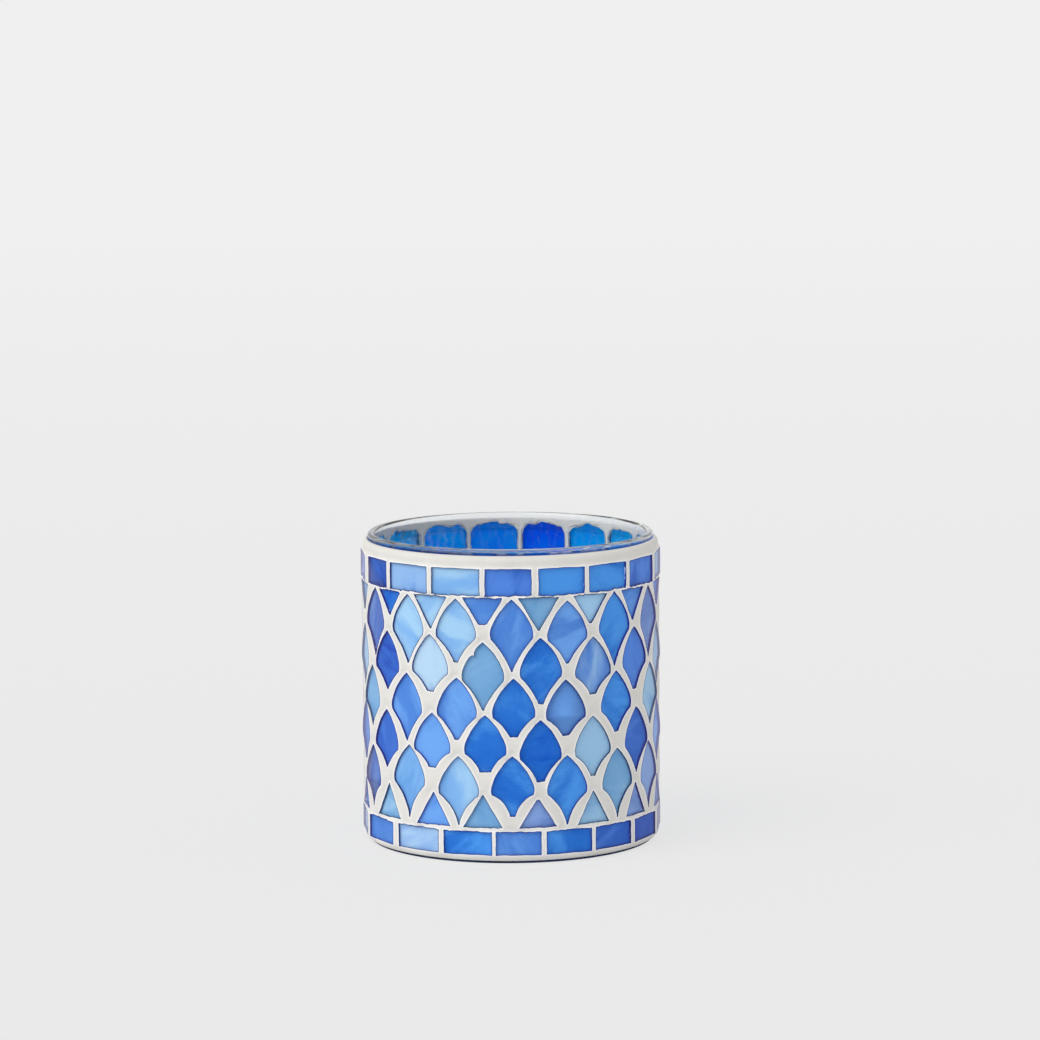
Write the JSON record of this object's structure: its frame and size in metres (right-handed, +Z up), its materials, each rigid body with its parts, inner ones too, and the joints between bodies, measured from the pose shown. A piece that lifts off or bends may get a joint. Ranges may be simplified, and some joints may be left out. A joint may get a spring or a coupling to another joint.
{
  "type": "votive candle holder",
  "caption": "Straight-sided clear glass votive cup, its wall covered with hand-cut flat coloured glass tiles set in white cement grout.",
  "frame": {"origin": "on the cup's axis, in the plane of the resting ring", "axes": "+Z up along the cup's axis and out of its mouth; -Y towards the front of the holder"},
  "size_m": [0.0872, 0.087, 0.09],
  "materials": {
    "clear_glass": "fire polished",
    "cement_grout": "matt, wiped",
    "clear_adhesive": "clear, set",
    "stained_glass_cobalt": "smooth, streaky",
    "stained_glass_azure": "smooth, streaky",
    "stained_glass_cornflower": "smooth, streaky",
    "stained_glass_sky": "smooth, streaky",
    "stained_glass_ice": "smooth, streaky",
    "stained_glass_teal": "smooth, streaky",
    "stained_glass_violet": "smooth, streaky"
  },
  "bodies": {
    "root": {"adhesive_bottom_band": "clear_adhesive", "adhesive_lower_triangles": "clear_adhesive", "adhesive_scale_row_1": "clear_adhesive", "adhesive_scale_row_2": "clear_adhesive", "adhesive_scale_row_3": "clear_adhesive", "adhesive_scale_row_4": "clear_adhesive", "adhesive_scale_row_5": "clear_adhesive", "adhesive_top_band": "clear_adhesive", "adhesive_upper_triangles": "clear_adhesive", "glass_cup": "clear_glass", "grout": "cement_grout", "tiles_bottom_band_azure": "stained_glass_azure", "tiles_bottom_band_cobalt": "stained_glass_cobalt", "tiles_bottom_band_cornflower": "stained_glass_cornflower", "tiles_bottom_band_ice": "stained_glass_ice", "tiles_lower_triangles_cornflower": "stained_glass_cornflower", "tiles_lower_triangles_teal": "stained_glass_teal", "tiles_lower_triangles_violet": "stained_glass_violet", "tiles_scale_row_1_azure": "stained_glass_azure", "tiles_scale_row_1_cornflower": "stained_glass_cornflower", "tiles_scale_row_1_sky": "stained_glass_sky", "tiles_scale_row_1_violet": "stained_glass_violet", "tiles_scale_row_2_azure": "stained_glass_azure", "tiles_scale_row_2_cobalt": "stained_glass_cobalt", "tiles_scale_row_2_ice": "stained_glass_ice", "tiles_scale_row_2_teal": "stained_glass_teal", "tiles_scale_row_3_azure": "stained_glass_azure", "tiles_scale_row_3_cobalt": "stained_glass_cobalt", "tiles_scale_row_3_cornflower": "stained_glass_cornflower", "tiles_scale_row_3_teal": "stained_glass_teal", "tiles_scale_row_4_azure": "stained_glass_azure", "tiles_scale_row_4_cobalt": "stained_glass_cobalt", "tiles_scale_row_4_cornflower": "stained_glass_cornflower", "tiles_scale_row_4_teal": "stained_glass_teal", "tiles_scale_row_5_azure": "stained_glass_azure", "tiles_scale_row_5_sky": "stained_glass_sky", "tiles_scale_row_5_teal": "stained_glass_teal", "tiles_scale_row_5_violet": "stained_glass_violet", "tiles_top_band_azure": "stained_glass_azure", "tiles_top_band_cobalt": "stained_glass_cobalt", "tiles_top_band_ice": "stained_glass_ice", "tiles_top_band_sky": "stained_glass_sky", "tiles_upper_triangles_azure": "stained_glass_azure", "tiles_upper_triangles_cornflower": "stained_glass_cornflower", "tiles_upper_triangles_sky": "stained_glass_sky", "tiles_upper_triangles_teal": "stained_glass_teal"}
  },
  "joints": []
}
